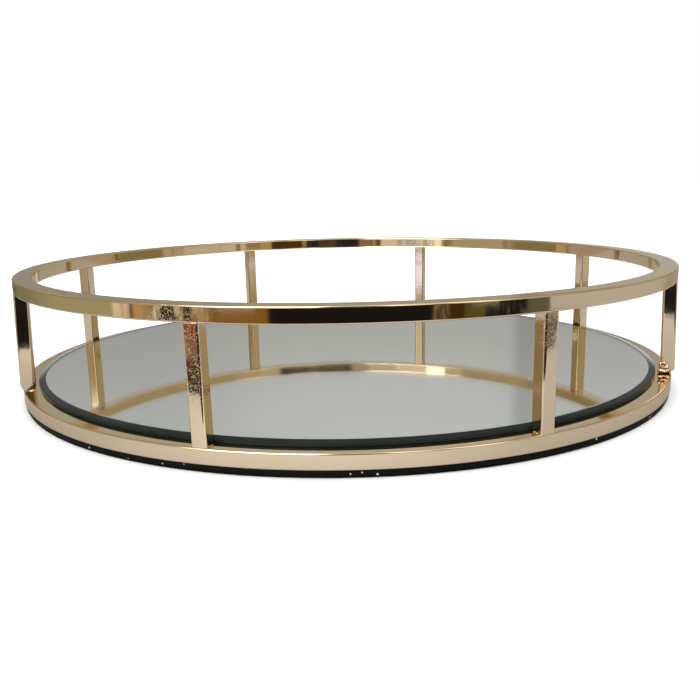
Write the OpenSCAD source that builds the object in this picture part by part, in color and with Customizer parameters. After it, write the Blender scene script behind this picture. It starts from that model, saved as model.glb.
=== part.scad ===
// Round gallery vanity tray: a plated steel rail of two rings and square posts round a bevelled mirror,
// on a black felt-backed base. Millimetres, +Z up, origin at the centre of the underside.

/* [Tray] */
// Outside diameter of both rings
tray_d = 310; // [220:10:400]
// Height from the table to the top of the rail
tray_h = 57; // [40:1:90]
// Number of posts that hold the top ring
post_count = 8; // [6:1:12]

/* [Metal rail] */
// Height of the flat bar that both rings are rolled from
bar_h = 6; // [5:0.5:10]
// Radial width of that bar
bar_w = 8; // [7.5:0.5:12]
// Radius of the rounded edges of the rings
ring_round = 0.6; // [0.3:0.1:1.2]
// Side of the square bar that the posts are cut from
post_w = 6; // [4:0.5:6.5]
// How far each post is welded away from its even place, in degrees anticlockwise, from post 1 on
post_slip = [-0.7, 0, -0.4, 2.2, -1.2, 0.8, 1.1, -0.4];
// Radius of the rounded edges of the posts
post_round = 0.9; // [0.3:0.1:1.2]
// Leg length of the weld beads at the ends of the posts
weld_leg = 1; // [0.6:0.1:1.5]

/* [Mirror] */
// Thickness of the mirror glass
glass_t = 1.7; // [1.5:0.1:4]
// Gap between the glass and the posts
glass_gap = 0.6; // [0.3:0.1:0.8]
// Width of the polished bevel round the glass
bevel_w = 3; // [1:0.5:8]
// How far the bevel drops at its outer edge
bevel_drop = 0.5; // [0.2:0.1:0.8]
// Thickness of the silvering and of the black border printed round it
film_t = 0.1; // [0.1:0.05:0.2]

/* [Base] */
// Thickness of the base board under the rings
board_t = 1.8; // [1.7:0.1:4]
// Thickness of the felt on the underside
felt_t = 0.8; // [0.5:0.1:3]
// Thickness of the spacer board inside the bottom ring
spacer_t = 5; // [3.5:0.1:5]
// How far the base board stands back from the rings' outer face
board_inset = 0.4; // [0.2:0.1:2]

/* [Fasteners] */
// Number of steel tabs and screws that hold the base board
tab_count = 4; // [3:1:8]
// Length of a tab from the ring towards the centre
tab_l = 12; // [10:1:16]
// Width of a tab
tab_w = 12; // [8:1:16]
// Thickness of a tab
tab_t = 2; // [1.5:0.5:3]
// Thread diameter of the base screws
screw_d = 3; // [2:0.5:3]
// Number of foam tape pads under the mirror
pad_count = 6; // [4:1:8]

/* [Hidden] */
$fn = 180;
bead_fn = 48;
screw_fn = 48;
// Flats that a rounded bar edge is made of
round_steps = 4;
full_turn = 360;
// Small overrun that lets a cutting shape pass clean through a face
overrun = 1;

ring_r = tray_d / 2;
ring_in = ring_r - bar_w;
// The post's flat outer face stays just inside the ring's round one
post_inset = 0.05;
post_out = ring_r - post_inset;
post_in = post_out - post_w;
post_turn = full_turn / post_count;

board_z = felt_t;
bottom_ring_z = board_z + board_t;
mirror_z = bottom_ring_z + bar_h;
top_ring_z = tray_h - bar_h;
post_l = top_ring_z - mirror_z;
// The beads beside a post end where the ring's outer edge starts to round off
side_bead_l = post_w - post_round - ring_round;

board_r = ring_r - board_inset;
felt_inset = 0.2;
felt_r = board_r - felt_inset;
board_edge = 0.3;
spacer_clear = 0.5;
spacer_r = ring_in - spacer_clear;

glass_r = post_in - glass_gap;
silver_r = glass_r - bevel_w;
border_inset = 0.2;
border_r = glass_r - border_inset;
glass_z = mirror_z + film_t;
glass_arris = 0.15;

tab_turn = full_turn / tab_count;
tab_hole_x = ring_in - tab_l / 2;
notch_gap = 1;
screw_r = screw_d / 2;
screw_head_r = screw_d * 0.92;
screw_head_h = screw_d * 0.55;
screw_tip = 1;
shank_clear = 0.2;
thread_clear = 0.05;
slot_w = screw_d / 5;
slot_l = screw_d * 0.9;
slot_deep = screw_head_h / 2;

pad_turn = full_turn / pad_count;
pad_l = 60;
pad_w = 25;
pad_place = 0.58;
pad_x = silver_r * pad_place;

plated = [0.80, 0.70, 0.54];
weld_gold = [0.76, 0.62, 0.42];
glass_green = [0.55, 0.68, 0.62];
silver = [0.78, 0.80, 0.80];
black = [0.09, 0.09, 0.10];
felt_black = [0.13, 0.13, 0.14];
board_brown = [0.45, 0.34, 0.24];
bare_steel = [0.62, 0.63, 0.65];
tape_white = [0.90, 0.90, 0.88];

// Angle of post i: evenly spaced with the first gap facing +X, then slipped
function post_angle(i) = (i - 0.5) * post_turn + (i > len(post_slip) ? 0 : post_slip[i - 1]);

// Rectangle with all four corners rounded, from the origin
module rounded_bar(w, h, r) {
    corners = [[w - r, r, 270], [w - r, h - r, 0], [r, h - r, 90], [r, r, 180]];
    polygon([
        for (c = corners, k = [0 : round_steps])
            let (turn = c[2] + 90 * k / round_steps)
                [c[0] + r * cos(turn), c[1] + r * sin(turn)]
    ]);
}

module ring(z) {
    translate([0, 0, z])
        rotate_extrude()
            translate([ring_in, 0])
                rounded_bar(bar_w, bar_h, ring_round);
}

module top_ring() {
    color(plated) ring(top_ring_z);
}

module bottom_ring() {
    color(plated) ring(bottom_ring_z);
}

module post(i) {
    color(plated)
        rotate([0, 0, post_angle(i)])
            translate([post_in, -post_w / 2, mirror_z])
                linear_extrude(post_l)
                    rounded_bar(post_w, post_w, post_round);
}

// Quarter-round bead that fills the corner +Y +Z of the line from the origin along +X
module bead(length) {
    intersection() {
        rotate([0, 90, 0]) cylinder(r = weld_leg, h = length, $fn = bead_fn);
        cube([length, weld_leg, weld_leg]);
    }
}

// The two beads beside a post, standing on the plane z = 0
module side_beads() {
    for (side = [0, 1])
        mirror([0, side, 0])
            translate([post_in + post_round, post_w / 2, 0])
                bead(side_bead_l);
}

// The bead across the inner face of a post, standing on the plane z = 0
module inner_bead() {
    translate([post_in, -post_w / 2 + post_round, 0])
        rotate([0, 0, 90])
            bead(post_w - 2 * post_round);
}

module upper_weld_beads() {
    color(weld_gold)
        for (i = [1 : post_count])
            rotate([0, 0, post_angle(i)])
                translate([0, 0, top_ring_z])
                    mirror([0, 0, 1]) {
                        side_beads();
                        inner_bead();
                    }
}

module lower_weld_beads() {
    color(weld_gold)
        for (i = [1 : post_count])
            rotate([0, 0, post_angle(i)])
                translate([0, 0, mirror_z])
                    side_beads();
}

module mirror_glass() {
    color(glass_green, 0.6)
        translate([0, 0, glass_z])
            rotate_extrude()
                polygon([
                    [0, 0], [glass_r - glass_arris, 0], [glass_r, glass_arris],
                    [glass_r, glass_t - bevel_drop], [silver_r, glass_t], [0, glass_t]
                ]);
}

module mirror_silvering() {
    color(silver)
        translate([0, 0, mirror_z])
            cylinder(r = silver_r, h = film_t);
}

module mirror_border() {
    color(black)
        translate([0, 0, mirror_z])
            rotate_extrude()
                translate([silver_r, 0])
                    square([border_r - silver_r, film_t]);
}

module foam_tape_pads() {
    pad_z = bottom_ring_z + spacer_t;
    color(tape_white)
        for (i = [1 : pad_count])
            rotate([0, 0, i * pad_turn])
                translate([pad_x - pad_l / 2, -pad_w / 2, pad_z])
                    cube([pad_l, pad_w, mirror_z - pad_z]);
}

module spacer_board() {
    color(board_brown)
        difference() {
            translate([0, 0, bottom_ring_z])
                cylinder(r = spacer_r, h = spacer_t);
            for (i = [1 : tab_count])
                rotate([0, 0, i * tab_turn])
                    translate([ring_in - tab_l - notch_gap, -tab_w / 2 - notch_gap, bottom_ring_z - overrun])
                        cube([tab_l + bar_w, tab_w + 2 * notch_gap, spacer_t + 2 * overrun]);
        }
}

module support_tabs() {
    color(bare_steel)
        for (i = [1 : tab_count])
            rotate([0, 0, i * tab_turn])
                difference() {
                    intersection() {
                        translate([ring_in - tab_l, -tab_w / 2, bottom_ring_z])
                            cube([tab_l, tab_w, tab_t]);
                        translate([0, 0, bottom_ring_z])
                            cylinder(r = ring_in, h = tab_t);
                    }
                    translate([tab_hole_x, 0, bottom_ring_z - overrun])
                        cylinder(r = screw_r + thread_clear, h = tab_t + 2 * overrun, $fn = screw_fn);
                }
}

// Bead along the top of each tab, where it meets the inside of the bottom ring
module tab_weld_beads() {
    bead_w = tab_w - 2 * weld_leg;
    color(bare_steel)
        intersection() {
            translate([0, 0, bottom_ring_z + tab_t])
                rotate_extrude()
                    translate([ring_in, 0])
                        bead_section();
            for (i = [1 : tab_count])
                rotate([0, 0, i * tab_turn])
                    translate([ring_in - tab_l, -bead_w / 2, bottom_ring_z])
                        cube([tab_l + bar_w, bead_w, bar_h]);
        }
}

// Quarter disc that fills the corner -X +Y
module bead_section() {
    intersection() {
        circle(r = weld_leg, $fn = bead_fn);
        translate([-weld_leg, 0]) square(weld_leg);
    }
}

module base_board() {
    color(black)
        difference() {
            translate([0, 0, board_z])
                rotate_extrude()
                    polygon([
                        [0, 0], [board_r, 0], [board_r, board_t - board_edge],
                        [board_r - board_edge, board_t], [0, board_t]
                    ]);
            for (i = [1 : tab_count])
                rotate([0, 0, i * tab_turn])
                    translate([tab_hole_x, 0, board_z])
                        screw_hole();
        }
}

module screw_head() {
    cylinder(r1 = screw_head_r, r2 = screw_r, h = screw_head_h, $fn = screw_fn);
}

// Countersunk clearance hole upwards from z = 0
module screw_hole() {
    screw_head();
    translate([0, 0, -overrun])
        cylinder(r = screw_r + shank_clear, h = board_t + 2 * overrun, $fn = screw_fn);
}

// Countersunk screw with a cross recess, head down at z = 0
module screw() {
    difference() {
        union() {
            screw_head();
            cylinder(r = screw_r, h = board_t + tab_t + screw_tip, $fn = screw_fn);
        }
        for (turn = [0, 90])
            rotate([0, 0, turn])
                translate([-slot_l / 2, -slot_w / 2, -overrun])
                    cube([slot_l, slot_w, slot_deep + overrun]);
    }
}

module base_screws() {
    color(bare_steel)
        for (i = [1 : tab_count])
            rotate([0, 0, i * tab_turn])
                translate([tab_hole_x, 0, board_z])
                    screw();
}

module felt_pad() {
    color(felt_black) cylinder(r = felt_r, h = felt_t);
}

top_ring();
bottom_ring();
for (i = [1 : post_count])
    post(i);
upper_weld_beads();
lower_weld_beads();
mirror_glass();
mirror_silvering();
mirror_border();
foam_tape_pads();
spacer_board();
support_tabs();
tab_weld_beads();
base_board();
base_screws();
felt_pad();
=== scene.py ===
"""Looks of the dresser vanity tray: a champagne-plated gallery tray with a mirror floor.

Lengths in the build are written in millimetres and turned into metres by MM.
"""

import math

import bmesh
import bpy
from mathutils import Matrix, Vector, noise


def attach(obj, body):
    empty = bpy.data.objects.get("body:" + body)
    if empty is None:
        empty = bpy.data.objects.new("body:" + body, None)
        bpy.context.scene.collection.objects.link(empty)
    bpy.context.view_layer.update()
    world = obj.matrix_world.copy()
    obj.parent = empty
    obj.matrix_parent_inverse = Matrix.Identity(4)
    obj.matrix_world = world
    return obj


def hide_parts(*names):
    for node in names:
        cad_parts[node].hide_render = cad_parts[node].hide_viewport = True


MM = 0.001

# Driving sizes of the tray, as in the part's source.
TRAY_RADIUS = 155.0
TRAY_HEIGHT = 57.0
BAR_WIDTH = 8.0
BAR_HEIGHT = 6.0
POST_COUNT = 8
POST_WIDTH = 6.0
POST_SETBACK = 0.05
# How far each post is welded off its even place round the rail, in degrees, from post 1 to post 8.
POST_SLIP = (-0.7, 0.0, -0.4, 2.2, -1.2, 0.8, 1.1, -0.4)
FELT_THICKNESS = 0.8
BOARD_THICKNESS = 1.8
BOARD_RADIUS = 154.6
FELT_RADIUS = 154.4
FILM_THICKNESS = 0.1
GLASS_RADIUS = 148.35
GLASS_THICKNESS = 1.7
BEVEL_WIDTH = 3.0
BEVEL_DROP = 0.5

# Heights that follow from them.
BOARD_TOP = FELT_THICKNESS + BOARD_THICKNESS
LOWER_BAR_TOP = BOARD_TOP + BAR_HEIGHT
UPPER_BAR_BOTTOM = TRAY_HEIGHT - BAR_HEIGHT
GLASS_BOTTOM = LOWER_BAR_TOP + FILM_THICKNESS
GLASS_TOP = GLASS_BOTTOM + GLASS_THICKNESS
POST_OUTER = TRAY_RADIUS - POST_SETBACK
POST_INNER = POST_OUTER - POST_WIDTH

# Faults in the setting of the posts, from post 1 to post 8. The foot stands out of plumb, and its
# outer corner hangs clear of the rail.
FOOT_LEAN = (0.0, 0.0, 0.0, 0.0, 1.0, 0.0, 0.0, 1.3)
FOOT_GAP = (0.0, 0.0, 0.0, 0.0, 0.5, 0.0, 0.0, 1.5)
# A foot that hangs clear by more than this got a heap of weld metal.
WIDE_FOOT_GAP = 1.0
# The post is twisted about its own axis, in degrees, and its head leans along the rail.
POST_TWIST = (0.0, 0.0, 0.0, 0.0, -8.0, 0.0, 0.0, 0.0)
HEAD_LEAN = (0.0, 0.0, 0.0, 0.0, 0.0, -0.7, 0.0, 0.0)
# The outer corner of the foot is ground off, this high and this far in.
FOOT_CORNER_RISE = (0.0, 0.0, 0.0, 0.0, 2.6, 0.0, 0.0, 0.0)
FOOT_CORNER_REACH = 1.6

# Finish of the formed metal.
RAIL_ROUNDING = 0.6
POST_ROUNDING = 0.9
CORNER_STEPS = 8
RAIL_SEGMENTS = 720
DISC_SEGMENTS = RAIL_SEGMENTS // 2
RAIL_WAVINESS = 0.02
POST_SWAY = 0.03
POST_STATIONS = 36
BEAD_STATIONS = 22
BEAD_INSET = 0.8
# How high the fine orange peel of the plating stands beside the coarse one, and the rough grains.
FINE_PEEL_SHARE = 0.35
ROUGH_GRAIN_HEIGHT = 0.010 * MM
# Posts with badly polished plating: the height of the worst spot, and how far it reaches.
ROUGH_POSTS = {6: (42, 22), 7: (47, 12)}

# The camera stands in front of the tray, slightly left of its middle, and looks down on it.
CAMERA_AZIMUTH = math.radians(-2.8)
CAMERA_DISTANCE = 0.3999
CAMERA_HEIGHT = 0.0944
CAMERA_PITCH = math.radians(12.57)
CAMERA_ROLL = -0.0196
CAMERA_LENS = 40.86
CAMERA_SHIFT = (0.0043, 0.0139)

# The white sheet under the tray as seen from above, in millimetres, with the camera's side at -Y.
SHEET_OUTLINE = (
    (-330, -160),
    (-128, -216),
    (-74, -198),
    (74, -262),
    (241, -210),
    (345, -242),
    (350, -100),
    (350, 600),
    (-330, 600),
)
# Where the painted pool of light on the sheet is brightest, in metres.
SHEET_PAINTED_LIGHT_SPOT = Vector((-0.03, -0.22, 0.0))
# Half the side of the floor in metres, and how far the floor and the sheet lie under the tray.
FLOOR_SIZE = 8.0
FLOOR_DROP = 0.2
SHEET_DROP = 0.1

# Colours of the studio.
FLOOR_TONE = (0.90, 0.90, 0.90)
EVEN_LIGHT = (1.35, 1.35, 1.35)
WHITE = (1.0, 1.0, 1.0)

# Colours of the plating and its pits, of welds stained by heat, of the painted shade on the
# undersides of welds, and of lint.
GOLD = (0.86, 0.70, 0.49)
GOLD_AT_GRAZING = (0.89, 0.84, 0.72, 1.0)
PIT_BROWN = (0.30, 0.24, 0.17)
COPPER = (0.80, 0.42, 0.22)
UNDERSIDE_SHADE_BROWN = (0.13, 0.035, 0.015)
LINT = (0.66, 0.64, 0.58)

# A range of azimuth that covers the whole room.
ALL_ROUND = (-400.0, 400.0)


# ---------------------------------------------------------------- shader helpers


def add_node(tree, kind, inputs=None, **settings):
    """A new shader node with its settings, its constants and its links set."""
    made = tree.nodes.new(kind)
    for name, value in settings.items():
        setattr(made, name, value)
    for name, value in (inputs or {}).items():
        if isinstance(value, bpy.types.NodeSocket):
            tree.links.new(value, made.inputs[name])
        else:
            made.inputs[name].default_value = value
    return made


def calc(tree, operation, first, second=0.0, third=0.0):
    """One Math node, as its output socket."""
    made = tree.nodes.new("ShaderNodeMath")
    made.operation = operation
    for place, value in enumerate((first, second, third)):
        if isinstance(value, bpy.types.NodeSocket):
            tree.links.new(value, made.inputs[place])
        else:
            made.inputs[place].default_value = value
    return made.outputs[0]


def blend_colour(tree, share, low, high, mode="MIX"):
    """low where share is 0 and high where it is 1, as a colour socket."""
    made = tree.nodes.new("ShaderNodeMix")
    made.data_type = "RGBA"
    made.blend_type = mode
    for place, value in ((0, share), (6, low), (7, high)):
        if isinstance(value, bpy.types.NodeSocket):
            tree.links.new(value, made.inputs[place])
        elif place == 0:
            made.inputs[place].default_value = value
        else:
            made.inputs[place].default_value = (*value, 1.0)
    return made.outputs[2]


def step_up(tree, value, low, high):
    """0 below low, 1 above high and smooth in between."""
    made = add_node(
        tree,
        "ShaderNodeMapRange",
        {"Value": value, "From Min": low, "From Max": high},
        interpolation_type="SMOOTHSTEP",
    )
    return made.outputs["Result"]


def between(tree, value, low, high, soft):
    """1 between low and high, 0 outside, with edges as wide as soft."""
    rise = step_up(tree, value, low - soft / 2, low + soft / 2)
    fall = step_up(tree, value, high - soft / 2, high + soft / 2)
    return calc(tree, "MULTIPLY", rise, calc(tree, "SUBTRACT", 1.0, fall))


def new_material(name):
    """An empty material with a Principled shader, and its node tree."""
    material = bpy.data.materials.new(name)
    material.use_nodes = True
    tree = material.node_tree
    tree.nodes.clear()
    shader = tree.nodes.new("ShaderNodeBsdfPrincipled")
    output = tree.nodes.new("ShaderNodeOutputMaterial")
    tree.links.new(shader.outputs["BSDF"], output.inputs["Surface"])
    return material, tree, shader


def object_place(tree):
    """The shaded point in the object's own coordinates, in metres."""
    return tree.nodes.new("ShaderNodeTexCoord").outputs["Object"]


def noise_at(tree, place, scale, detail=2.0, roughness=0.5):
    """Cloudy noise over the place, 0 to 1 and finer as scale grows."""
    made = add_node(
        tree,
        "ShaderNodeTexNoise",
        {"Vector": place, "Scale": scale, "Detail": detail, "Roughness": roughness},
    )
    return made.outputs["Fac"]


def specks_at(tree, place, scale, size):
    """1 on small scattered dots, 0 between them."""
    cells = add_node(tree, "ShaderNodeTexVoronoi", {"Vector": place, "Scale": scale})
    edge = step_up(tree, cells.outputs["Distance"], size * 0.6, size)
    return calc(tree, "SUBTRACT", 1.0, edge)


def bump_from(tree, height, distance):
    """The surface normal bumped by the height, where a height of 1 stands distance metres proud."""
    made = add_node(tree, "ShaderNodeBump", {"Height": height, "Distance": distance})
    return made.outputs["Normal"]


# ---------------------------------------------------------------- materials


def rough_patch(tree, place, spot, reach):
    """Coarse, sparkling grains in the plating, 0 to 1, thinning out at reach from the spot."""
    grains = step_up(tree, noise_at(tree, place, 2100.0, 3.0, 0.7), 0.56, 0.62)
    clusters = step_up(tree, noise_at(tree, place, 240.0, 2.0), 0.36, 0.56)
    distance = add_node(
        tree, "ShaderNodeVectorMath", {0: place, 1: spot}, operation="DISTANCE"
    ).outputs["Value"]
    near = calc(tree, "SUBTRACT", 1.0, step_up(tree, distance, reach * 0.6, reach))
    return calc(tree, "MULTIPLY", calc(tree, "MULTIPLY", grains, clusters), near)


def plated_metal(name, peel, roughness=0.055, heat_stain_and_shade=0.0, rough_spot=None, reach=1.0):
    """Bright champagne plating: faint orange peel, fine scratches, tiny pits and an uneven tint.

    peel is the height of the orange peel in metres. heat_stain_and_shade colours weld metal by
    heat, and when it is above 0, faces that point downward also get a painted shade in dark brown.
    rough_spot is the middle of a badly polished patch, which ends at reach from it.
    """
    material, tree, shader = new_material(name)
    place = object_place(tree)
    shader.inputs["Metallic"].default_value = 1.0
    shader.inputs["Specular Tint"].default_value = GOLD_AT_GRAZING

    darker = tuple(c * 0.93 for c in GOLD)
    uneven = noise_at(tree, place, 45.0, 3.0)
    colour = blend_colour(tree, uneven, darker, GOLD)
    if heat_stain_and_shade > 0:
        scorch = step_up(tree, noise_at(tree, place, 420.0, 3.0), 0.42, 0.6)
        scorch = calc(tree, "MULTIPLY", scorch, heat_stain_and_shade)
        colour = blend_colour(tree, scorch, colour, COPPER)
        # Painted shade: faces that point downward are painted dark brown, as the shade under a
        # weld.
        facing = tree.nodes.new("ShaderNodeNewGeometry").outputs["Normal"]
        upward = add_node(tree, "ShaderNodeSeparateXYZ", {"Vector": facing}).outputs["Z"]
        colour = blend_colour(tree, step_up(tree, upward, -0.3, 0.15), UNDERSIDE_SHADE_BROWN, colour)
    pits = specks_at(tree, place, 260.0, 0.035)
    colour = blend_colour(tree, pits, colour, PIT_BROWN)
    tree.links.new(colour, shader.inputs["Base Color"])

    stretched = add_node(
        tree, "ShaderNodeMapping", {"Vector": place, "Scale": (1.0, 1.0, 24.0)}
    ).outputs["Vector"]
    scratches = step_up(tree, noise_at(tree, stretched, 160.0, 6.0, 0.7), 0.60, 0.72)
    dull = calc(tree, "MULTIPLY_ADD", scratches, 0.07, roughness)
    dull = calc(tree, "MULTIPLY_ADD", pits, 0.3, dull)
    if rough_spot:
        grains = rough_patch(tree, place, rough_spot, reach)
        dull = calc(tree, "MULTIPLY_ADD", grains, 0.42, dull)
    tree.links.new(dull, shader.inputs["Roughness"])

    coarse = noise_at(tree, place, 520.0, 2.0)
    fine = noise_at(tree, place, 1700.0, 1.0)
    height = calc(tree, "MULTIPLY_ADD", fine, FINE_PEEL_SHARE, coarse)
    height = calc(tree, "MULTIPLY_ADD", pits, -1.5, height)
    if rough_spot:
        height = calc(tree, "MULTIPLY_ADD", grains, ROUGH_GRAIN_HEIGHT / peel, height)
    tree.links.new(bump_from(tree, height, peel), shader.inputs["Normal"])
    return material


def clear_glass():
    """Float glass with a faint green cast, a few specks of dust and hardly visible wipe marks."""
    material, tree, shader = new_material("mirror_glass_clear")
    place = object_place(tree)
    shader.inputs["Transmission Weight"].default_value = 1.0
    shader.inputs["IOR"].default_value = 1.52
    cast = blend_colour(
        tree, noise_at(tree, place, 9.0, 2.0), (0.965, 0.975, 0.966), (0.98, 0.986, 0.98)
    )
    tree.links.new(cast, shader.inputs["Base Color"])
    wiped = add_node(
        tree, "ShaderNodeMapping", {"Vector": place, "Scale": (1.0, 7.0, 1.0)}
    ).outputs["Vector"]
    marks = step_up(tree, noise_at(tree, wiped, 26.0, 5.0, 0.65), 0.5, 0.75)
    dust = specks_at(tree, place, 330.0, 0.03)
    dull = calc(tree, "MULTIPLY_ADD", marks, 0.012, 0.0)
    dull = calc(tree, "MULTIPLY_ADD", dust, 0.3, dull)
    tree.links.new(dull, shader.inputs["Roughness"])
    return material


def ground_edge():
    """The bevelled rim of the glass, dark because the back of it is painted black."""
    material, tree, shader = new_material("mirror_glass_rim")
    place = object_place(tree)
    shade = blend_colour(
        tree, noise_at(tree, place, 60.0, 3.0), (0.010, 0.015, 0.014), (0.016, 0.023, 0.022)
    )
    dust = specks_at(tree, place, 300.0, 0.03)
    shade = blend_colour(tree, dust, shade, (0.20, 0.20, 0.19))
    tree.links.new(shade, shader.inputs["Base Color"])
    shader.inputs["Specular IOR Level"].default_value = 0.06
    dull = calc(tree, "MULTIPLY_ADD", noise_at(tree, place, 200.0, 3.0), 0.1, 0.16)
    tree.links.new(dull, shader.inputs["Roughness"])

    gloss = add_node(
        tree, "ShaderNodeBsdfGlossy", {"Color": (0.92, 0.94, 0.92, 1.0), "Roughness": 0.05}
    )
    facing = tree.nodes.new("ShaderNodeLayerWeight").outputs["Facing"]
    blend = add_node(
        tree,
        "ShaderNodeMixShader",
        {0: step_up(tree, facing, 0.79, 0.86), 1: shader.outputs[0], 2: gloss.outputs[0]},
    )
    output = next(item for item in tree.nodes if item.type == "OUTPUT_MATERIAL")
    tree.links.new(blend.outputs[0], output.inputs["Surface"])
    return material


def silver_film():
    """The reflecting film on the back of the glass, slightly uneven."""
    material, tree, shader = new_material("silvering_film")
    place = object_place(tree)
    shader.inputs["Metallic"].default_value = 1.0
    patchy = noise_at(tree, place, 14.0, 4.0)
    colour = blend_colour(tree, patchy, (0.87, 0.89, 0.87), (0.91, 0.925, 0.905))
    tree.links.new(colour, shader.inputs["Base Color"])
    dull = calc(tree, "MULTIPLY_ADD", patchy, 0.01, 0.018)
    tree.links.new(dull, shader.inputs["Roughness"])
    return material


def grainy_layer(name, low, high, grain, dull, bump, dust=0.0):
    """A layer such as paint, board, felt or foam: two tones in a grain, and specks of lint.

    dull is its roughness, bump the height of its grain in metres and dust the size of the specks.
    """
    material, tree, shader = new_material(name)
    place = object_place(tree)
    colour = blend_colour(tree, noise_at(tree, place, grain, 5.0, 0.6), low, high)
    if dust > 0:
        lint = specks_at(tree, place, 230.0, dust)
        colour = blend_colour(tree, lint, colour, LINT)
    tree.links.new(colour, shader.inputs["Base Color"])
    shader.inputs["Specular IOR Level"].default_value = 0.08
    rough = calc(tree, "MULTIPLY_ADD", noise_at(tree, place, grain * 0.4, 3.0), 0.15, dull)
    tree.links.new(rough, shader.inputs["Roughness"])
    height = noise_at(tree, place, grain * 1.6, 4.0, 0.65)
    tree.links.new(bump_from(tree, height, bump), shader.inputs["Normal"])
    return material


def plain_metal(name, tone, dull):
    """Unplated steel of the hidden tabs and screws, with drawn lines and a few dark stains."""
    material, tree, shader = new_material(name)
    place = object_place(tree)
    shader.inputs["Metallic"].default_value = 1.0
    stains = step_up(tree, noise_at(tree, place, 240.0, 4.0), 0.45, 0.7)
    colour = blend_colour(tree, stains, tone, tuple(c * 0.55 for c in tone))
    tree.links.new(colour, shader.inputs["Base Color"])
    drawn = add_node(
        tree, "ShaderNodeMapping", {"Vector": place, "Scale": (1.0, 12.0, 1.0)}
    ).outputs["Vector"]
    lines = noise_at(tree, drawn, 500.0, 3.0)
    rough = calc(tree, "MULTIPLY_ADD", lines, 0.2, dull)
    tree.links.new(rough, shader.inputs["Roughness"])
    tree.links.new(bump_from(tree, lines, 0.01 * MM), shader.inputs["Normal"])
    return material


def studio_paper(name):
    """White studio paper with a faint tooth, as the camera sees it."""
    material, tree, shader = new_material(name)
    place = object_place(tree)
    darker = tuple(c * 0.96 for c in FLOOR_TONE)
    colour = blend_colour(tree, noise_at(tree, place, 30.0, 4.0), darker, FLOOR_TONE)
    finish_paper(tree, shader, place, colour)
    return material


def sheet_with_painted_light(name):
    """The sheet under the tray with a painted pool of light, brightest just in front of it and
    duller towards its far parts.
    """
    material, tree, shader = new_material(name)
    place = object_place(tree)
    reach = add_node(
        tree,
        "ShaderNodeVectorMath",
        {0: place, 1: SHEET_PAINTED_LIGHT_SPOT},
        operation="DISTANCE",
    ).outputs["Value"]
    # Painted light: the sheet's colour falls off with distance from the bright spot, as a pool of
    # light would.
    colour = blend_colour(
        tree, step_up(tree, reach, 0.03, 0.15), (0.54, 0.545, 0.57), (0.37, 0.37, 0.39)
    )
    colour = blend_colour(tree, step_up(tree, reach, 0.30, 0.80), colour, (0.27, 0.27, 0.265))
    finish_paper(tree, shader, place, colour)
    return material


def finish_paper(tree, shader, place, colour):
    """The matt finish and the faint tooth that both papers share."""
    tree.links.new(colour, shader.inputs["Base Color"])
    shader.inputs["Roughness"].default_value = 0.9
    shader.inputs["Specular IOR Level"].default_value = 0.1
    tooth = noise_at(tree, place, 900.0, 3.0)
    tree.links.new(bump_from(tree, tooth, 0.02 * MM), shader.inputs["Normal"])


# ---------------------------------------------------------------- mesh helpers


def piece_from(mesh_builder, name, materials, body="root"):
    """A new object from a bmesh, smooth shaded, riding on the body."""
    bmesh.ops.recalc_face_normals(mesh_builder, faces=mesh_builder.faces)
    mesh = bpy.data.meshes.new(name)
    mesh_builder.to_mesh(mesh)
    mesh_builder.free()
    mesh.polygons.foreach_set("use_smooth", [True] * len(mesh.polygons))
    for material in materials:
        mesh.materials.append(material)
    made = bpy.data.objects.new(name, mesh)
    bpy.context.scene.collection.objects.link(made)
    if body:
        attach(made, body)
    return made


def rounded_outline(low, high, rounding):
    """A rounded rectangle from corner low to corner high, anticlockwise, as (across, up) points.

    Each side has a point close to either end, so that smooth shading keeps the side flat.
    """
    points = []
    corners = (
        (high[0] - rounding, low[1] + rounding, -90),
        (high[0] - rounding, high[1] - rounding, 0),
        (low[0] + rounding, high[1] - rounding, 90),
        (low[0] + rounding, low[1] + rounding, 180),
    )
    arcs = []
    for across, up, start in corners:
        arc = []
        for step in range(CORNER_STEPS + 1):
            turn = math.radians(start + 90.0 * step / CORNER_STEPS)
            arc.append(
                (across + rounding * math.cos(turn), up + rounding * math.sin(turn))
            )
        arcs.append(arc)
    for arc, following in zip(arcs, arcs[1:] + arcs[:1]):
        points.extend(arc)
        start, end = Vector(arc[-1]), Vector(following[0])
        for share in (0.02, 0.5, 0.98):
            points.append(tuple(start.lerp(end, share)))
    return points


def turned_ring(outline, segments, waviness, seed):
    """A bmesh of the closed outline turned round the Z axis, with a slight unevenness in radius."""
    built = bmesh.new()
    rows = []
    for segment in range(segments):
        angle = 2 * math.pi * segment / segments
        spot = Vector((math.cos(angle), math.sin(angle), seed))
        swell = noise.noise(spot * 4.0) + 0.4 * noise.noise(spot * 13.0)
        inward = -waviness * (0.7 + 0.5 * swell)
        row = []
        for across, up in outline:
            radius = (across + inward) * MM
            row.append(
                built.verts.new(
                    (radius * math.cos(angle), radius * math.sin(angle), up * MM)
                )
            )
        rows.append(row)
    join_rows(built, rows, closed=True)
    return built


def join_rows(built, rows, closed):
    """Quads between neighbouring rows of a tube. closed joins the last row to the first."""
    pairs = list(zip(rows, rows[1:]))
    if closed:
        pairs.append((rows[-1], rows[0]))
    for row, following in pairs:
        count = len(row)
        for i in range(count):
            j = (i + 1) % count
            built.faces.new((row[i], row[j], following[j], following[i]))


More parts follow.
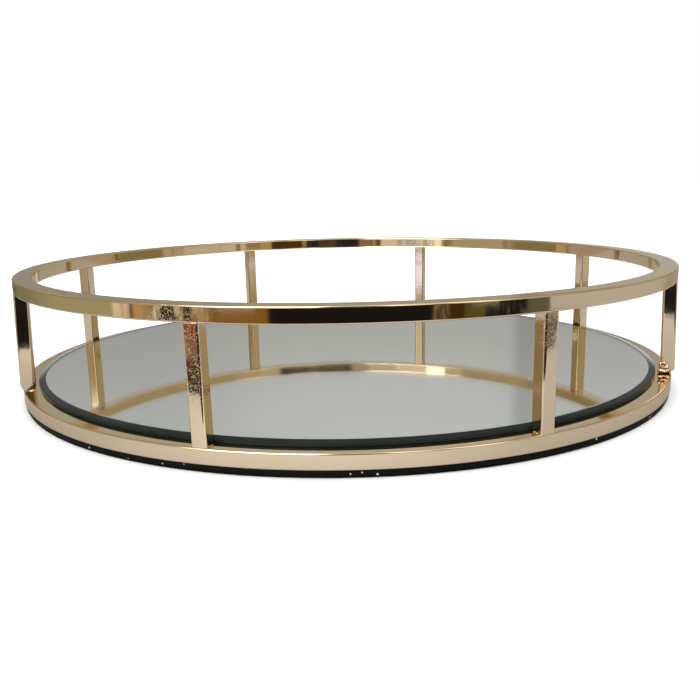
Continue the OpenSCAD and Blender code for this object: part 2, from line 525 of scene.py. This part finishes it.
def turned_disc(profile, segments):
    """A bmesh of a solid disc. The profile starts on the axis below and ends on the axis above."""
    built = bmesh.new()
    first = built.verts.new((0.0, 0.0, profile[0][1] * MM))
    last = built.verts.new((0.0, 0.0, profile[-1][1] * MM))
    rows = []
    for radius, height in profile[1:-1]:
        row = []
        for segment in range(segments):
            angle = 2 * math.pi * segment / segments
            row.append(
                built.verts.new(
                    (
                        radius * MM * math.cos(angle),
                        radius * MM * math.sin(angle),
                        height * MM,
                    )
                )
            )
        rows.append(row)
    join_rows(built, rows, closed=False)
    for i in range(segments):
        j = (i + 1) % segments
        built.faces.new((first, rows[0][i], rows[0][j]))
        built.faces.new((last, rows[-1][j], rows[-1][i]))
    return built


# ---------------------------------------------------------------- pieces


def build_rails(material):
    """The upper and the lower rail, each of flat bar rolled to a ring."""
    for name, node, bottom, seed in (
        ("upper_rail", "top_ring", UPPER_BAR_BOTTOM, 3.1),
        ("lower_rail", "bottom_ring", BOARD_TOP, 8.7),
    ):
        outline = rounded_outline(
            (TRAY_RADIUS - BAR_WIDTH, bottom),
            (TRAY_RADIUS, bottom + BAR_HEIGHT),
            RAIL_ROUNDING,
        )
        ring = turned_ring(outline, RAIL_SEGMENTS, RAIL_WAVINESS, seed)
        rail = piece_from(ring, name, [material])
        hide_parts(node)


def post_angle(index):
    """Direction of a post from the axis: nearly even, each welded with its own small slip."""
    return math.radians((index - 0.5) * 360.0 / POST_COUNT + POST_SLIP[index - 1])


def rim_spot(angle, height):
    """A point on the tray's outer face, in metres."""
    radius = TRAY_RADIUS * MM
    return (radius * math.cos(angle), radius * math.sin(angle), height * MM)


def post_frame(index):
    """Unit vectors of a post: outward, sideways and up."""
    angle = post_angle(index)
    outward = Vector((math.cos(angle), math.sin(angle), 0.0))
    sideways = Vector((-math.sin(angle), math.cos(angle), 0.0))
    return outward, sideways, Vector((0.0, 0.0, 1.0))


def build_post(index, material):
    """One upright of square bar, a little uneven along its length, as it was set and welded."""
    outward, sideways, up = post_frame(index)
    half_way = (POST_INNER + POST_OUTER) / 2
    middle = outward * half_way
    twist = Matrix.Rotation(math.radians(POST_TWIST[index - 1]), 3, up)
    outward, sideways = twist @ outward, twist @ sideways
    lean, tilt = FOOT_LEAN[index - 1], HEAD_LEAN[index - 1]
    gap, corner_rise = FOOT_GAP[index - 1], FOOT_CORNER_RISE[index - 1]
    outline = rounded_outline(
        (POST_INNER, -POST_WIDTH / 2), (POST_OUTER, POST_WIDTH / 2), POST_ROUNDING
    )
    built = bmesh.new()
    rows = []
    inner_shares = [station / POST_STATIONS for station in range(1, POST_STATIONS)]
    for share in (0.0, 0.003, *inner_shares, 0.997, 1.0):
        sway = POST_SWAY * noise.noise(Vector((index * 5.3, share * 2.5, 0.0)))
        row = []
        for across, along in outline:
            ground = max(0.0, (across - POST_OUTER) / FOOT_CORNER_REACH + 1)
            foot = LOWER_BAR_TOP + gap * (across - POST_INNER) / POST_WIDTH
            foot += corner_rise * ground**2
            height = foot + share * (UPPER_BAR_BOTTOM - foot)
            spot = middle + outward * (across - half_way + lean * (1 - share))
            spot += sideways * (along + sway + tilt * share)
            row.append(built.verts.new((spot + up * height) * MM))
        rows.append(row)
    join_rows(built, rows, closed=False)
    built.faces.new(rows[0][::-1])
    built.faces.new(rows[-1])
    post = piece_from(built, f"post_bar_{index}", [material])
    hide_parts(f"post_{index}")


def add_bead(built, start, end, first_side, second_side, size, seed):
    """A lumpy run of weld metal along a corner. Each side points away from a face that it joins."""
    around = 14
    rows = []
    for station in range(BEAD_STATIONS + 1):
        share = station / BEAD_STATIONS
        taper = math.sin(math.pi * min(1.0, max(0.0, 0.08 + 0.84 * share))) ** 0.45
        ripple = 0.05 * math.cos(share * 3.0 * 2 * math.pi + seed)
        swell = 0.28 * noise.noise(Vector((seed * 3.7, share * 4.0, 1.0)))
        reach = size * taper * (0.92 + ripple + swell)
        centre = start.lerp(end, share) + (first_side + second_side) * (-0.22 * size)
        row = []
        for step in range(around):
            turn = 2 * math.pi * step / around
            lump = 1.0 + 0.10 * noise.noise(
                Vector((seed + math.cos(turn), math.sin(turn), share * 9.0))
            )
            offset = first_side * math.cos(turn) + second_side * math.sin(turn)
            row.append(built.verts.new((centre + offset * reach * lump) * MM))
        rows.append(row)
    join_rows(built, rows, closed=False)
    built.faces.new(rows[0][::-1])
    built.faces.new(rows[-1])


def add_lump(built, centre, radius, seed):
    """One knobbly drop of weld metal."""
    drop = bmesh.ops.create_icosphere(built, subdivisions=4, radius=1.0)
    for vert in drop["verts"]:
        knob = noise.noise(vert.co * 1.3 + Vector((seed, 0, 0)))
        knob += 0.45 * noise.noise(vert.co * 3.4 + Vector((0, seed, 0)))
        vert.co = (centre + vert.co * radius * (1.0 + 0.42 * knob)) * MM


def add_foot_blob(built, index):
    """The heap of weld metal that fills the gap under the foot of one post.

    Each drop has its distance from the post's inner face, its height on the rail and its radius.
    """
    outward, sideways, up = post_frame(index)
    side = sideways * (-POST_WIDTH / 2)
    heap = (
        (1.4, 1.2, 1.25),
        (3.0, 1.0, 1.3),
        (4.4, 1.2, 1.15),
        (1.9, 2.9, 1.15),
        (3.7, 2.7, 1.0),
        (1.2, 4.3, 0.8),
        (2.7, 4.2, 0.75),
        (5.2, 1.4, 0.7),
    )
    for number, (along, height, radius) in enumerate(heap):
        centre = outward * (POST_INNER + along) + side + up * (LOWER_BAR_TOP + height)
        add_lump(built, centre, radius, 4.0 + number * 7.3)


def build_welds(name, node, material, height, up_sign, with_inner, size, outer_gap):
    """The weld beads at one end of every post, along both of its sides.

    with_inner adds a bead on the inner face. The side beads stop outer_gap short of the outer face.
    """
    built = bmesh.new()
    for index in range(1, POST_COUNT + 1):
        outward, sideways, up = post_frame(index)
        away = up * up_sign
        for side in (-1.0, 1.0):
            face = sideways * side
            edge = face * (POST_WIDTH / 2) + up * height
            start = outward * (POST_INNER + BEAD_INSET) + edge
            end = outward * (POST_OUTER - outer_gap) + edge
            add_bead(built, start, end, face, away, size, index * 1.7 + side)
        if with_inner:
            edge = outward * POST_INNER + up * height
            start = edge - sideways * (POST_WIDTH / 2 - BEAD_INSET)
            end = edge + sideways * (POST_WIDTH / 2 - BEAD_INSET)
            add_bead(built, start, end, -outward, away, size, index * 2.3)
        elif FOOT_GAP[index - 1] > WIDE_FOOT_GAP:
            add_foot_blob(built, index)
    welds = piece_from(built, name, [material])
    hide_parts(node)


def build_glass(clear, rim):
    """The mirror glass: a flat disc with a shallow bevel and a narrow upright edge."""
    flat_radius = GLASS_RADIUS - BEVEL_WIDTH
    edge_top = GLASS_TOP - BEVEL_DROP
    sunk = GLASS_BOTTOM - 0.02
    arris = 0.15
    crisp = 0.04
    profile = [
        (0.0, sunk),
        (flat_radius - crisp, sunk),
        (flat_radius + crisp, sunk),
        (GLASS_RADIUS - arris, sunk),
        (GLASS_RADIUS - 0.06, sunk + 0.03),
        (GLASS_RADIUS, sunk + arris),
        (GLASS_RADIUS, edge_top - arris),
        (GLASS_RADIUS - 0.04, edge_top - 0.05),
        (GLASS_RADIUS - arris, edge_top + 0.01),
        (flat_radius + 0.3, GLASS_TOP - 0.05),
        (flat_radius + crisp, GLASS_TOP - 0.006),
        (flat_radius - crisp, GLASS_TOP),
        (flat_radius - 1.0, GLASS_TOP),
        (0.0, GLASS_TOP),
    ]
    built = turned_disc(profile, DISC_SEGMENTS)
    glass = piece_from(built, "mirror_plate", [clear, rim])
    rim_start = flat_radius * MM
    for polygon in glass.data.polygons:
        centre = polygon.center
        if math.hypot(centre.x, centre.y) > rim_start:
            polygon.material_index = 1
    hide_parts("mirror_glass")


def build_base(board_material, felt_material):
    """The painted board under the lower rail and the felt under it."""
    rounding = 0.3
    board = turned_disc(
        [
            (0.0, FELT_THICKNESS),
            (BOARD_RADIUS - 0.1, FELT_THICKNESS),
            (BOARD_RADIUS, FELT_THICKNESS + 0.1),
            (BOARD_RADIUS, BOARD_TOP - rounding),
            (BOARD_RADIUS - 0.3 * rounding, BOARD_TOP - 0.3 * rounding),
            (BOARD_RADIUS - rounding, BOARD_TOP),
            (TRAY_RADIUS - 2 * BAR_WIDTH, BOARD_TOP),
            (0.0, BOARD_TOP),
        ],
        DISC_SEGMENTS,
    )
    board_piece = piece_from(board, "base_disc", [board_material])
    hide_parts("base_board")

    rings = [
        (0.0, 0.0),
        (FELT_RADIUS * 0.5, 0.0),
        (FELT_RADIUS - 1.0, 0.0),
        (FELT_RADIUS - 0.12, 0.02),
        (FELT_RADIUS, 0.2),
        (FELT_RADIUS, 0.5),
        (FELT_RADIUS - 0.1, FELT_THICKNESS),
        (FELT_RADIUS - 1.0, FELT_THICKNESS),
        (0.0, FELT_THICKNESS),
    ]
    felt = turned_disc(rings, RAIL_SEGMENTS)
    fray(felt)
    felt_piece = piece_from(felt, "felt_disc", [felt_material])
    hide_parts("felt_pad")


def fray(felt):
    """Makes the cut edge of the felt disc uneven."""
    for vert in felt.verts:
        reach = math.hypot(vert.co.x, vert.co.y)
        if reach > (FELT_RADIUS - 0.5) * MM:
            fuzz = noise.noise(vert.co * 900.0) * 0.12 * MM - 0.08 * MM
            vert.co.x *= 1 + fuzz / reach
            vert.co.y *= 1 + fuzz / reach


def paint_node(node, material):
    """Gives a CAD node that keeps its own shape a better material."""
    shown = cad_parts[node]
    shown.data.materials.clear()
    shown.data.materials.append(material)


# ---------------------------------------------------------------- studio


def build_camera():
    """The camera, aimed by its azimuth, pitch and roll."""
    data = bpy.data.cameras.new("camera")
    data.lens = CAMERA_LENS
    data.sensor_width = 36.0
    data.shift_x, data.shift_y = CAMERA_SHIFT
    data.clip_start = 0.01
    data.clip_end = 50.0
    camera = bpy.data.objects.new("camera", data)
    bpy.context.scene.collection.objects.link(camera)
    toward = Vector((-math.sin(CAMERA_AZIMUTH), math.cos(CAMERA_AZIMUTH), 0.0))
    forward = toward * math.cos(CAMERA_PITCH) - Vector((0, 0, math.sin(CAMERA_PITCH)))
    level = Vector((math.cos(CAMERA_AZIMUTH), math.sin(CAMERA_AZIMUTH), 0.0))
    above = level.cross(forward)
    right = level * math.cos(CAMERA_ROLL) + above * math.sin(CAMERA_ROLL)
    up = above * math.cos(CAMERA_ROLL) - level * math.sin(CAMERA_ROLL)
    turn = Matrix((right, up, -forward)).transposed()
    camera.matrix_world = turn.to_4x4()
    camera.location = -toward * CAMERA_DISTANCE + Vector((0, 0, CAMERA_HEIGHT))
    bpy.context.scene.camera = camera


def build_floor():
    """The pale floor that the camera sees, and the white sheet that the polished metal sees.

    The sheet ends a little way in front of the tray, so the rails mirror the darker room past it.
    """
    built = bmesh.new()
    bmesh.ops.create_grid(built, x_segments=24, y_segments=24, size=FLOOR_SIZE)
    floor = piece_from(built, "floor", [studio_paper("floor_paper")], body=None)
    floor.location.z = -FLOOR_DROP * MM
    floor.visible_glossy = False

    built = bmesh.new()
    corners = [built.verts.new((x * MM, y * MM, 0.0)) for x, y in SHEET_OUTLINE]
    built.faces.new(corners)
    sheet = piece_from(built, "white_sheet", [sheet_with_painted_light("sheet_with_painted_light")], body=None)
    sheet.location.z = -SHEET_DROP * MM
    sheet.rotation_euler.z = CAMERA_AZIMUTH
    sheet.visible_camera = False
    sheet.visible_diffuse = False
    sheet.visible_transmission = False
    sheet.visible_shadow = False


def soft_light(name, place, aim, size, power):
    """A round lamp that lights the dull surfaces and is not mirrored by the polished ones."""
    data = bpy.data.lights.new(name, "AREA")
    data.shape = "DISK"
    data.size = size
    data.energy = power
    light = bpy.data.objects.new(name, data)
    light.location = place
    light.rotation_mode = "QUATERNION"
    light.rotation_quaternion = (Vector(aim) - Vector(place)).to_track_quat("-Z", "Y")
    light.visible_glossy = False
    light.visible_transmission = False
    bpy.context.scene.collection.objects.link(light)


class Surroundings:
    """The room as the polished metal sees it, painted patch by patch.

    Places are azimuth and elevation in degrees. Azimuth 0 is the front of the studio, and it grows
    towards the right of the tray. Elevation 0 is level.
    """

    def __init__(self, tree):
        """A plain grey room, a little lighter above."""
        self.tree = tree
        direction = tree.nodes.new("ShaderNodeTexCoord").outputs["Generated"]
        parts = add_node(tree, "ShaderNodeSeparateXYZ", {"Vector": direction})
        x, y, z = (parts.outputs[i] for i in range(3))
        back = calc(tree, "MULTIPLY", y, -1.0)
        turn = calc(tree, "ARCTAN2", x, back)
        turn = calc(tree, "DEGREES", turn)
        self.azimuth = calc(tree, "SUBTRACT", turn, math.degrees(CAMERA_AZIMUTH))
        self.elevation = calc(tree, "DEGREES", calc(tree, "ARCSINE", z))
        self.direction = direction
        height = step_up(tree, self.elevation, 6.0, 18.0)
        self.colour = blend_colour(tree, height, (0.405, 0.388, 0.366), (0.545, 0.540, 0.522))

    def patch(self, colour, azimuth, elevation, soft, broken=None, mode="MIX"):
        """Paints colour over the two ranges, with edges as wide as soft says for each of them.

        broken = (scale, share) breaks the patch up into blobs, and share widens them.
        """
        tree = self.tree
        mask = calc(
            tree,
            "MULTIPLY",
            between(tree, self.azimuth, *azimuth, soft[0]),
            between(tree, self.elevation, *elevation, soft[1]),
        )
        if broken:
            scale, share = broken
            blobs = noise_at(tree, self.direction, scale, 3.0, 0.6)
            blobs = step_up(tree, blobs, 0.5 - share, 0.56 - share)
            mask = calc(tree, "MULTIPLY", mask, blobs)
        self.colour = blend_colour(tree, mask, self.colour, colour, mode)


def build_surroundings():
    """White for the camera, even light for dull surfaces and a room for the polished ones."""
    world = bpy.data.worlds.new("studio")
    bpy.context.scene.world = world
    world.use_nodes = True
    tree = world.node_tree
    tree.nodes.clear()

    room = Surroundings(tree)
    paint_upper_room(room)
    paint_near_things(room)
    paint_far_things(room)

    lights = tree.nodes.new("ShaderNodeLightPath")
    seen = blend_colour(tree, lights.outputs["Is Diffuse Ray"], room.colour, EVEN_LIGHT)
    seen = blend_colour(tree, lights.outputs["Is Camera Ray"], seen, WHITE)
    background = add_node(tree, "ShaderNodeBackground", {"Color": seen})
    output = tree.nodes.new("ShaderNodeOutputWorld")
    tree.links.new(background.outputs[0], output.inputs["Surface"])


def paint_upper_room(room):
    """Above the level of the tray: a grey wall behind, windows and a dark figure in front."""
    # Light and shade on the wall behind, and a joint in it.
    room.patch((0.85, 0.86, 0.86), (-171.5, -60), (-1, 30), (11, 4), mode="MULTIPLY")
    room.patch((0.92, 0.93, 0.94), (60, 168), (9, 30), (6, 3), mode="MULTIPLY")
    room.patch((1.25, 1.30, 1.35), (90, 172), (-1, 7.5), (6, 3), mode="MULTIPLY")
    room.patch((0.75, 0.75, 0.74), (166.2, 167.8), (-1, 20), (1.0, 4), mode="MULTIPLY")
    # A warm band high up behind, and the ceiling.
    room.patch((0.30, 0.25, 0.15), (95, 400), (30, 62), (14, 8))
    room.patch((0.30, 0.25, 0.15), (-400, -95), (30, 62), (14, 8))
    room.patch((0.90, 0.90, 0.88), ALL_ROUND, (62, 100), (1, 14))
    # The warm front of the room and its darker left.
    room.patch((0.415, 0.34, 0.20), (-100, 145), (-1, 18), (12, 4))
    room.patch((0.30, 0.235, 0.12), (-148, -90), (-1, 19), (12, 4))
    # A lit doorway beside the figure, then the figure from left to right, and a lit strip past it.
    room.patch((0.70, 0.65, 0.56), (-40, -22), (-1, 15), (3, 4))
    room.patch((1.90, 1.90, 1.80), (-47, -38), (-1, 15), (2, 4))
    room.patch((0.02, 0.018, 0.016), (-22, 34), (-1, 15), (3, 4))
    room.patch((0.05, 0.02, 0.012), (-22, -9), (-1, 15), (2, 4))
    room.patch((0.09, 0.08, 0.03), (1, 18), (-1, 15), (3, 4))
    room.patch((0.05, 0.025, 0.015), (18, 34), (-1, 15), (3, 4))
    room.patch((0.50, 0.48, 0.33), (32, 43), (-1, 15), (3, 4))
    # Small bright and dull spots over them.
    room.patch((1.25, 1.35, 1.80), (-40, -28), (5.2, 7.5), (2, 0.4))
    room.patch((0.50, 0.43, 0.42), (-40, -28), (7.5, 9.5), (2, 0.4))
    room.patch((0.57, 0.54, 0.47), (39, 48), (5.0, 7.2), (2, 0.4))
    room.patch((0.45, 0.35, 0.20), (39, 48), (7.2, 9.0), (2, 0.4))
    room.patch((0.42, 0.38, 0.34), (-23, -2), (11, 15), (4, 3))
    # Three tall windows, and the dark wall between two of them.
    room.patch((4.2, 4.1, 3.9), (-56, -10), (16, 75), (3, 6))
    room.patch((1.6, 1.5, 1.3), (14, 28), (16, 70), (3, 6))
    room.patch((2.2, 2.0, 1.5), (42, 54), (16, 60), (3, 6))
    room.patch((0.10, 0.085, 0.05), (-10, 13), (15, 46), (3, 6))


def paint_near_things(room):
    """What lies past the white sheet and mirrors in the outer faces, from left to right."""
    low = (-90, -6)
    pale, soot = (0.95, 0.82, 0.64), (0.012, 0.010, 0.011)
    # The floor of the room: plain, paler on the right, and darker on the left and behind.
    room.patch((0.40, 0.39, 0.36), ALL_ROUND, (-90, 0), (1, 1))
    room.patch((0.545, 0.54, 0.54), (50, 127), low, (12, 0.4))
    room.patch((0.39, 0.365, 0.24), (-120, -60), low, (20, 0.4))
    room.patch((0.25, 0.24, 0.16), (-200, -117), low, (30, 0.4))
    room.patch((0.13, 0.125, 0.095), (-190, -144), low, (16, 0.4))
    # The dark space in front, and the bright and brown things at its left end.
    room.patch(soot, (-63, 66), low, (2, 0.4))
    room.patch((0.70, 0.62, 0.46), (-78, -74.5), low, (1, 0.4))
    room.patch((0.55, 0.43, 0.37), (-74.5, -70.5), low, (1, 0.4))
    room.patch(pale, (-77, -71), low, (1, 0.4), (75.0, -0.03))
    room.patch((0.13, 0.07, 0.06), (-71, -69.5), low, (1, 0.4))
    room.patch((0.52, 0.33, 0.15), (-69.5, -66), low, (1, 0.4))
    room.patch((0.36, 0.26, 0.12), (-66, -62.5), low, (1, 0.4))
    room.patch(pale, (-62.5, -59.5), low, (1, 0.4), (60.0, 0.02))
    room.patch(pale, (-54.5, -51.5), low, (1, 0.4), (60.0, 0.0))
    room.patch((0.30, 0.19, 0.08), (-48.5, -43), low, (1, 0.4))
    room.patch(pale, (-48.5, -43), low, (1, 0.4), (80.0, -0.01))
    # Dark and red things that only the posts mirror.
    room.patch((0.06, 0.035, 0.03), (-60, -43), (-15.9, -9.8), (3, 0.4))
    room.patch((0.27, 0.055, 0.022), (-60, -43), (-10.7, -9.5), (3, 0.3))
    room.patch((0.60, 0.42, 0.30), (-60, -43), (-12.1, -10.6), (3, 0.4), (110.0, 0.0))
    room.patch((0.20, 0.12, 0.10), (-60, -43), (-15.6, -12.0), (3, 0.4), (110.0, -0.12))
    # Brown and olive things at both sides of the darkest part, and what ends it on the right.
    room.patch((0.24, 0.125, 0.022), (-43, -24), low, (1.5, 0.4))
    room.patch((0.055, 0.028, 0.006), (26.5, 36), low, (1, 0.4))
    room.patch((0.50, 0.44, 0.30), (26.5, 32), low, (1, 0.4), (95.0, -0.05))
    room.patch((0.10, 0.085, 0.022), (36.5, 43.5), low, (1.5, 0.4))
    room.patch((0.40, 0.38, 0.33), (46, 56), (-9.3, -8.5), (1, 0.2), (110.0, -0.10))
    room.patch((0.125, 0.115, 0.085), (58, 66), low, (1.5, 0.4))
    room.patch((0.125, 0.13, 0.105), (56, 82), (-40, -9.1), (1.5, 0.4))


def paint_far_things(room):
    """What is further off and mirrors in the far rail and the far posts, from left to right."""
    level = (-5.4, 0)
    posts = (-8.4, -4.6)
    # The left of the room, the band that all the rest stands in, and the left front.
    room.patch((0.40, 0.33, 0.27), (-200, -107), (-5.75, 0), (8, 0.3))
    room.patch((0.25, 0.20, 0.095), (-104, 118), level, (3, 0.4))
    room.patch((0.52, 0.36, 0.16), (-107, -103), level, (1, 0.4))
    room.patch((0.42, 0.38, 0.26), (-79, -48), (-7.0, 0), (6, 0.4))
    # The lit doorway and what stands in it.
    room.patch((0.29, 0.25, 0.21), (-50, -46), level, (1.5, 0.4))
    room.patch((0.45, 0.43, 0.42), (-46, -24.5), level, (1.5, 0.4))
    room.patch((1.10, 1.05, 1.00), (-44.5, -26), level, (1.5, 0.4), (60.0, -0.02))
    room.patch((1.10, 1.05, 1.00), (-45, -41.5), level, (1, 0.4))
    room.patch((1.05, 1.15, 1.42), (-40, -28), (-7.5, -5.1), (2, 0.5))
    room.patch((0.40, 0.36, 0.32), (-40, -28), (-8.7, -7.5), (2, 0.4))
    room.patch((0.72, 0.68, 0.58), (-24.5, -16.5), level, (1.5, 0.4))
    # The dark figure.
    room.patch((0.10, 0.07, 0.06), (-16.5, -12), level, (1, 0.4))
    room.patch((0.285, 0.175, 0.115), (-12, -6.5), level, (1, 0.4))
    room.patch((0.020, 0.018, 0.022), (-6.5, 34), level, (1, 0.4))
    room.patch((0.09, 0.05, 0.022), (4, 12), level, (2, 0.4))
    room.patch((0.069, 0.038, 0.006), (18, 34), level, (2, 0.4))
    # The lit strip past it, and the right of the room.
    room.patch((0.45, 0.34, 0.14), (34, 39), level, (1, 0.4))
    room.patch((0.47, 0.45, 0.39), (39, 48), posts, (1, 0.4))
    room.patch((0.60, 0.545, 0.48), (46, 58), level, (2, 0.4))
    room.patch((0.54, 0.52, 0.42), (58, 77), (-7.0, 0), (3, 0.4))
    room.patch((0.45, 0.40, 0.31), (77, 87), level, (3, 0.4))
    room.patch((0.45, 0.34, 0.25), (112, 200), (-5.75, 0), (3, 0.3))


def build_studio():
    """Everything round the tray: the camera, the floor, the room and one lamp."""
    build_camera()
    build_floor()
    build_surroundings()
    soft_light("overhead", place=(0.0, -0.2, 1.5), aim=(0, 0, 0), size=1.6, power=5.0)
    scene = bpy.context.scene
    scene.view_settings.view_transform = "Standard"
    scene.cycles.max_bounces = 12
    scene.cycles.glossy_bounces = 8
    scene.cycles.transmission_bounces = 8


# ---------------------------------------------------------------- the tray


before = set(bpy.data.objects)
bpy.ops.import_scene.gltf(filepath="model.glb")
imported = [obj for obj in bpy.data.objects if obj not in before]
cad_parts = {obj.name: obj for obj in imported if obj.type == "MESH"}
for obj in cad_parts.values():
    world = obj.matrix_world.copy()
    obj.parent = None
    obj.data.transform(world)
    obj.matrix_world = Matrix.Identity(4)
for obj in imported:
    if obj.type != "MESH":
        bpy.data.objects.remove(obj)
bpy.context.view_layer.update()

rail_gold = plated_metal(
    "plated_rail",
    0.0035 * MM,
    rough_spot=rim_spot(post_angle(6) - math.radians(2.2), 56),
    reach=16 * MM,
)
post_gold = plated_metal("plated_post", 0.008 * MM)
rough_posts = {
    index: plated_metal(
        f"rough_post_{index}",
        0.010 * MM,
        rough_spot=rim_spot(post_angle(index), height),
        reach=reach * MM,
    )
    for index, (height, reach) in ROUGH_POSTS.items()
}
weld_gold = plated_metal("weld_gold", 0.03 * MM, roughness=0.12, heat_stain_and_shade=0.7)

build_rails(rail_gold)
for number in range(1, POST_COUNT + 1):
    build_post(number, rough_posts.get(number, post_gold))
build_welds(
    "foot_welds",
    "lower_weld_beads",
    weld_gold,
    height=LOWER_BAR_TOP,
    up_sign=1.0,
    with_inner=False,
    size=0.6,
    outer_gap=2.2,
)
build_welds(
    "head_welds",
    "upper_weld_beads",
    weld_gold,
    height=UPPER_BAR_BOTTOM,
    up_sign=-1.0,
    with_inner=True,
    size=0.45,
    outer_gap=3.5,
)
build_glass(clear_glass(), ground_edge())
build_base(
    grainy_layer(
        "base_board_paint",
        (0.0022, 0.0022, 0.0024),
        (0.005, 0.0048, 0.005),
        grain=420.0,
        dull=0.42,
        bump=0.02 * MM,
        dust=0.115,
    ),
    grainy_layer(
        "felt_black",
        (0.002, 0.002, 0.0025),
        (0.007, 0.007, 0.008),
        grain=1500.0,
        dull=0.85,
        bump=0.2 * MM,
    ),
)
paint_node("mirror_silvering", silver_film())
paint_node(
    "mirror_border",
    grainy_layer(
        "black_border",
        (0.006, 0.006, 0.006),
        (0.012, 0.013, 0.012),
        grain=300.0,
        dull=0.4,
        bump=0.01 * MM,
    ),
)
paint_node(
    "foam_tape_pads",
    grainy_layer(
        "foam_tape",
        (0.50, 0.50, 0.48),
        (0.62, 0.62, 0.60),
        grain=1200.0,
        dull=0.8,
        bump=0.1 * MM,
    ),
)
paint_node(
    "spacer_board",
    grainy_layer(
        "spacer_board",
        (0.26, 0.17, 0.10),
        (0.40, 0.28, 0.17),
        grain=260.0,
        dull=0.75,
        bump=0.1 * MM,
    ),
)
paint_node("support_tabs", plain_metal("bare_steel", (0.45, 0.44, 0.43), 0.3))
paint_node("tab_weld_beads", plain_metal("bare_steel_weld", (0.36, 0.34, 0.32), 0.38))
paint_node("base_screws", plain_metal("screw_steel", (0.55, 0.55, 0.56), 0.25))
build_studio()
